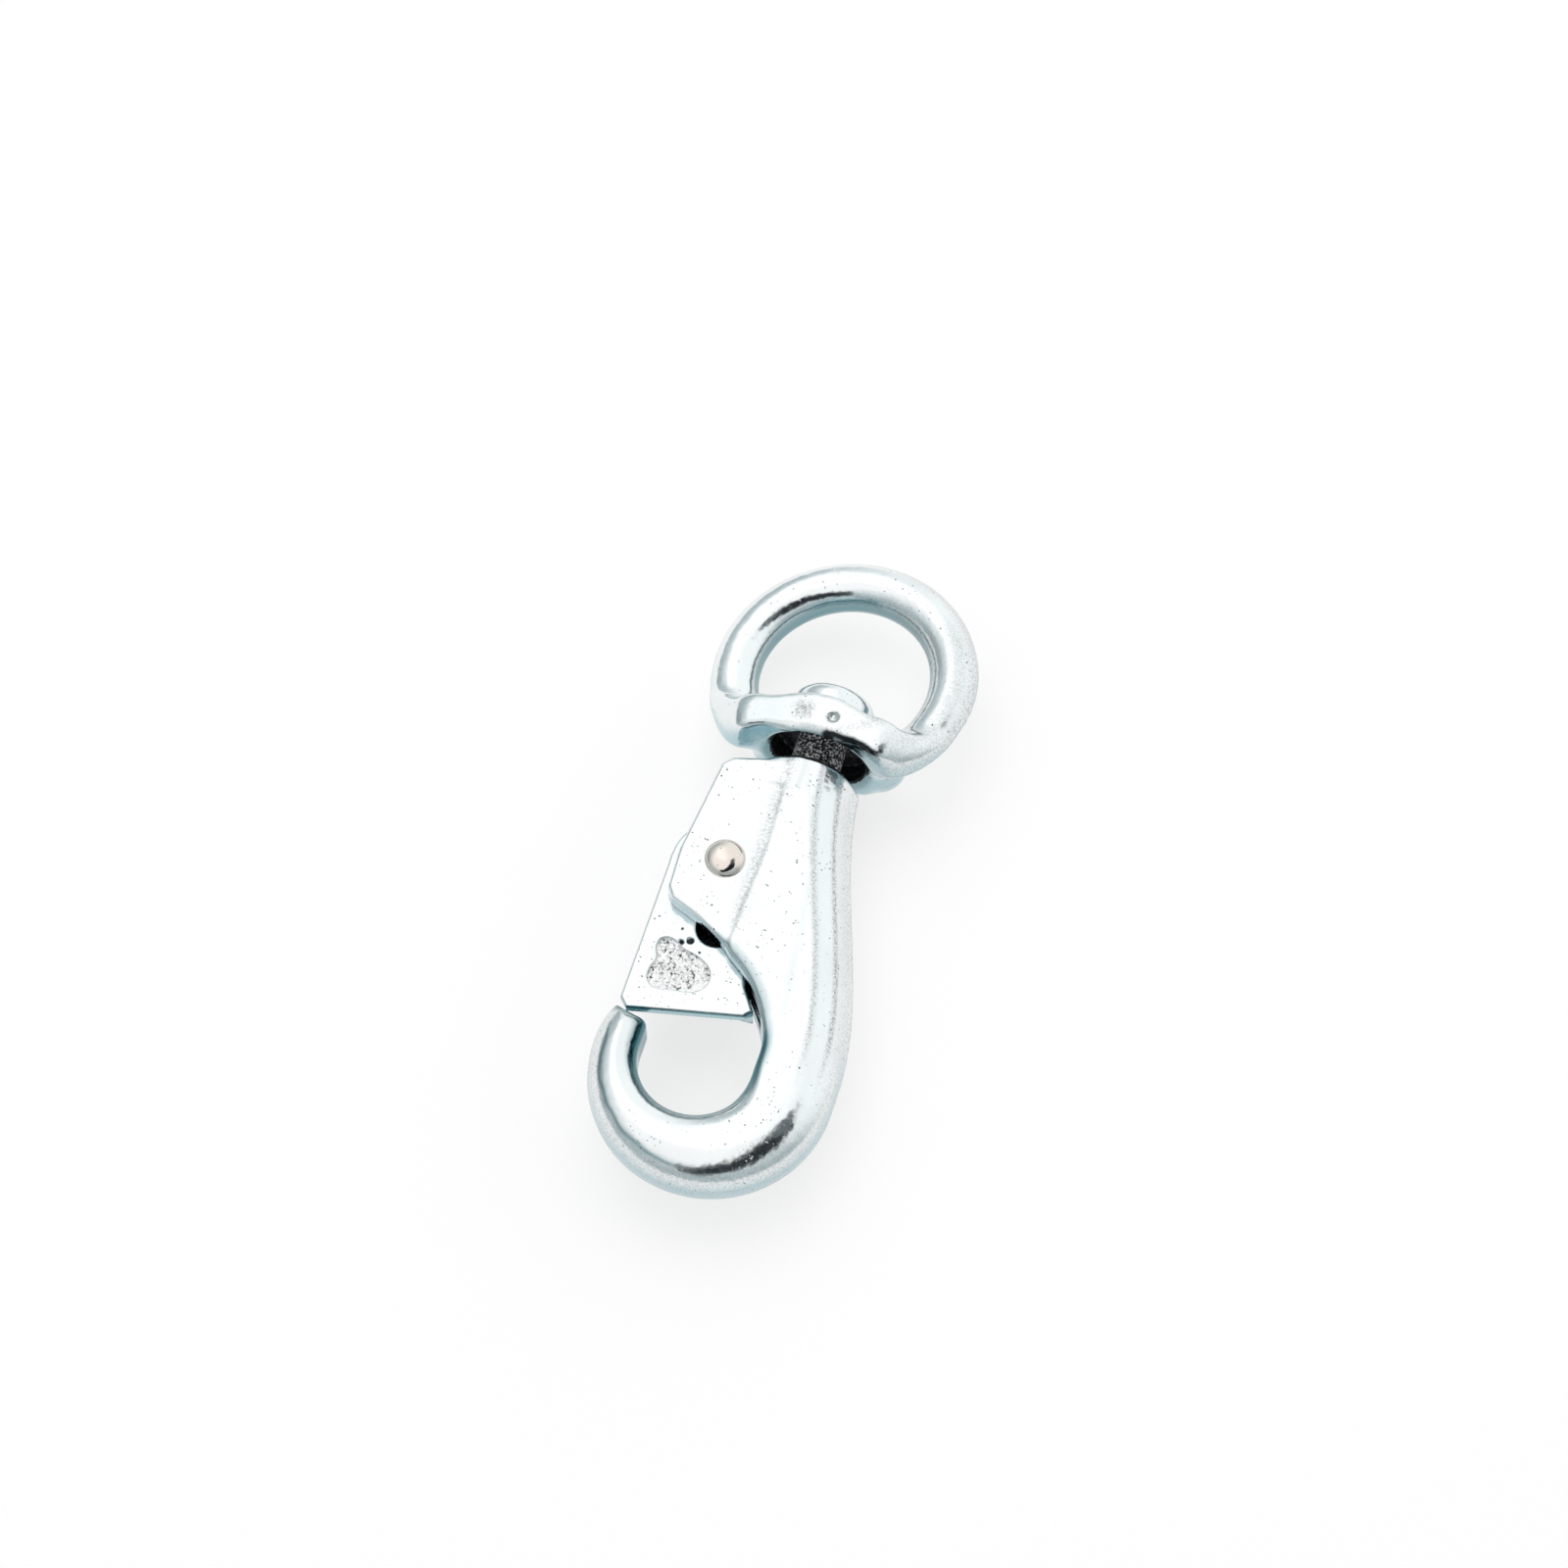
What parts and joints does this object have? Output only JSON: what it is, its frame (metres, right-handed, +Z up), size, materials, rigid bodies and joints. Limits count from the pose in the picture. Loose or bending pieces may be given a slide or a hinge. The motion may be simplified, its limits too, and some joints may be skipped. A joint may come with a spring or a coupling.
{
  "type": "swivel snap hook",
  "caption": "Zinc-plated forged swivel hook with a round eye, a headed swivel stud and a spring gate that pivots inward on a domed rivet.",
  "frame": {"origin": "middle of the whole hook in plan, at the level it lies on, with the swivel axis on x = 0", "axes": "lying flat: +Z up, square to the hook's flat side; +Y along the swivel axis towards the eye; the gate and tip are on the -X side"},
  "size_m": [0.0436, 0.1136, 0.0217],
  "materials": {
    "zinc_plate": "bright zinc plate over forged steel, satin gloss",
    "rivet_steel": "polished nickel",
    "spring_steel": "dark oiled wire"
  },
  "bodies": {
    "hook": {"hook_body": "zinc_plate", "swivel_stud": "zinc_plate", "gate_rivet": "rivet_steel"},
    "eye": {"swivel_eye": "zinc_plate"},
    "gate": {"gate": "zinc_plate", "gate_spring": "spring_steel"}
  },
  "joints": [
    {"name": "eye_swivel", "type": "hinge", "parent": "hook", "child": "eye", "pos_m": [0, 0.02347, 0.01087], "axis": [0, 1, 0], "continuous": true},
    {"name": "gate_hinge", "type": "hinge", "parent": "hook", "child": "gate", "pos_m": [-0.0078, -0.00402, 0.01087], "axis": [0, 0, 1], "range_deg": [0, 28], "stiffness_Nm_per_rad": 0.2, "springref_deg": -28.65, "deforming": ["gate_spring"]}
  ]
}
